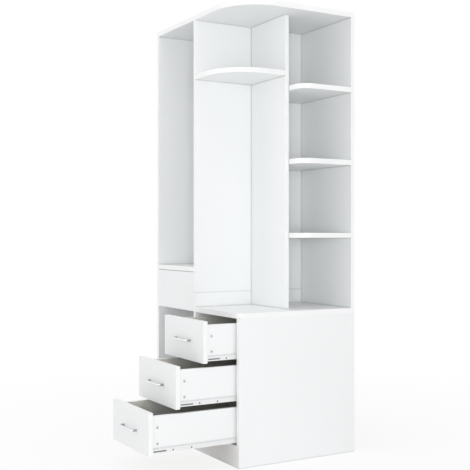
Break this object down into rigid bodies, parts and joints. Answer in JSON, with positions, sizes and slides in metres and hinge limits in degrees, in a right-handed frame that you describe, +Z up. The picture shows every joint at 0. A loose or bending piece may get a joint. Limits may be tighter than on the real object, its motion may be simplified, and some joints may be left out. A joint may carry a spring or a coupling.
{
  "type": "wardrobe",
  "caption": "Open corner wardrobe: a tall shelved bay beside a chest of drawers on roller runners, below a hanging niche and a column of shelves that opens to the side.",
  "frame": {"origin": "on the floor, in the middle of the carcass's footprint, under the divider", "axes": "+Z up, +X to the right for someone who faces the drawers, drawers pull out along -Y"},
  "size_m": [0.8, 1.025, 1.97],
  "materials": {
    "white_board": "chipboard faced with satin white melamine",
    "fibreboard": "thin fibreboard, lacquered white",
    "dowel_beech": "plain beech",
    "runner_steel": "folded steel sheet with white powder coat",
    "roller_nylon": "moulded nylon",
    "handle_steel": "brushed",
    "fitting_zinc": "satin zinc plating"
  },
  "bodies": {
    "carcass": {"left_side_panel": "white_board", "right_side_panel": "white_board", "divider_lower": "white_board", "divider_upper": "white_board", "left_plinth": "white_board", "chest_plinth": "white_board", "left_bottom": "white_board", "chest_bottom": "white_board", "left_shelf": "white_board", "apron": "white_board", "partition": "white_board", "rear_panel": "white_board", "top_panel": "white_board", "chest_top": "white_board", "hat_shelf": "white_board", "column_shelf_1": "white_board", "column_shelf_2": "white_board", "column_shelf_3": "white_board", "carcass_dowels": "dowel_beech", "left_back": "fibreboard", "chest_back": "fibreboard", "bottom_channel_left": "runner_steel", "bottom_channel_right": "runner_steel", "middle_channel_left": "runner_steel", "middle_channel_right": "runner_steel", "top_channel_left": "runner_steel", "top_channel_right": "runner_steel"},
    "bottom_drawer": {"bottom_drawer_front": "white_board", "bottom_drawer_side_right": "white_board", "bottom_drawer_side_left": "white_board", "bottom_drawer_back": "white_board", "bottom_drawer_bottom": "fibreboard", "bottom_drawer_handle": "handle_steel", "bottom_drawer_fittings": "fitting_zinc", "bottom_drawer_runner_right": "runner_steel", "bottom_drawer_runner_left": "runner_steel"},
    "bottom_drawer_rollers": {"bottom_drawer_rollers": "roller_nylon"},
    "bottom_channel_rollers": {"bottom_channel_rollers": "roller_nylon"},
    "middle_drawer": {"middle_drawer_front": "white_board", "middle_drawer_side_right": "white_board", "middle_drawer_side_left": "white_board", "middle_drawer_back": "white_board", "middle_drawer_bottom": "fibreboard", "middle_drawer_handle": "handle_steel", "middle_drawer_fittings": "fitting_zinc", "middle_drawer_runner_right": "runner_steel", "middle_drawer_runner_left": "runner_steel"},
    "middle_drawer_rollers": {"middle_drawer_rollers": "roller_nylon"},
    "middle_channel_rollers": {"middle_channel_rollers": "roller_nylon"},
    "top_drawer": {"top_drawer_front": "white_board", "top_drawer_side_right": "white_board", "top_drawer_side_left": "white_board", "top_drawer_back": "white_board", "top_drawer_bottom": "fibreboard", "top_drawer_handle": "handle_steel", "top_drawer_fittings": "fitting_zinc", "top_drawer_runner_right": "runner_steel", "top_drawer_runner_left": "runner_steel"},
    "top_drawer_rollers": {"top_drawer_rollers": "roller_nylon"},
    "top_channel_rollers": {"top_channel_rollers": "roller_nylon"}
  },
  "joints": [
    {"name": "bottom_drawer_slide", "type": "slide", "parent": "carcass", "child": "bottom_drawer", "axis": [0, -1, 0], "range_m": [-0.4, 0.02]},
    {"name": "bottom_drawer_roller_turn", "type": "hinge", "parent": "bottom_drawer", "child": "bottom_drawer_rollers", "pos_m": [0.19525, -0.148, 0.1107], "axis": [1, 0, 0], "range_deg": [-3058, 155]},
    {"name": "bottom_channel_roller_turn", "type": "hinge", "parent": "carcass", "child": "bottom_channel_rollers", "pos_m": [0.19525, -0.266, 0.1133], "axis": [1, 0, 0], "range_deg": [-3058, 155]},
    {"name": "middle_drawer_slide", "type": "slide", "parent": "carcass", "child": "middle_drawer", "axis": [0, -1, 0], "range_m": [-0.28, 0.14]},
    {"name": "middle_drawer_roller_turn", "type": "hinge", "parent": "middle_drawer", "child": "middle_drawer_rollers", "pos_m": [0.19525, -0.028, 0.28603], "axis": [1, 0, 0], "range_deg": [-2142, 1072]},
    {"name": "middle_channel_roller_turn", "type": "hinge", "parent": "carcass", "child": "middle_channel_rollers", "pos_m": [0.19525, -0.266, 0.28863], "axis": [1, 0, 0], "range_deg": [-2142, 1072]},
    {"name": "top_drawer_slide", "type": "slide", "parent": "carcass", "child": "top_drawer", "axis": [0, -1, 0], "range_m": [-0.155, 0.265]},
    {"name": "top_drawer_roller_turn", "type": "hinge", "parent": "top_drawer", "child": "top_drawer_rollers", "pos_m": [0.19525, 0.097, 0.46137], "axis": [1, 0, 0], "range_deg": [-1187, 2027]},
    {"name": "top_channel_roller_turn", "type": "hinge", "parent": "carcass", "child": "top_channel_rollers", "pos_m": [0.19525, -0.266, 0.46397], "axis": [1, 0, 0], "range_deg": [-1187, 2027]}
  ],
  "couplings": [
    {"joint": "bottom_drawer_roller_turn", "follows": "bottom_drawer_slide", "rad_per_m": 133.33},
    {"joint": "bottom_channel_roller_turn", "follows": "bottom_drawer_slide", "rad_per_m": 133.33},
    {"joint": "middle_drawer_roller_turn", "follows": "middle_drawer_slide", "rad_per_m": 133.33},
    {"joint": "middle_channel_roller_turn", "follows": "middle_drawer_slide", "rad_per_m": 133.33},
    {"joint": "top_drawer_roller_turn", "follows": "top_drawer_slide", "rad_per_m": 133.33},
    {"joint": "top_channel_roller_turn", "follows": "top_drawer_slide", "rad_per_m": 133.33}
  ]
}
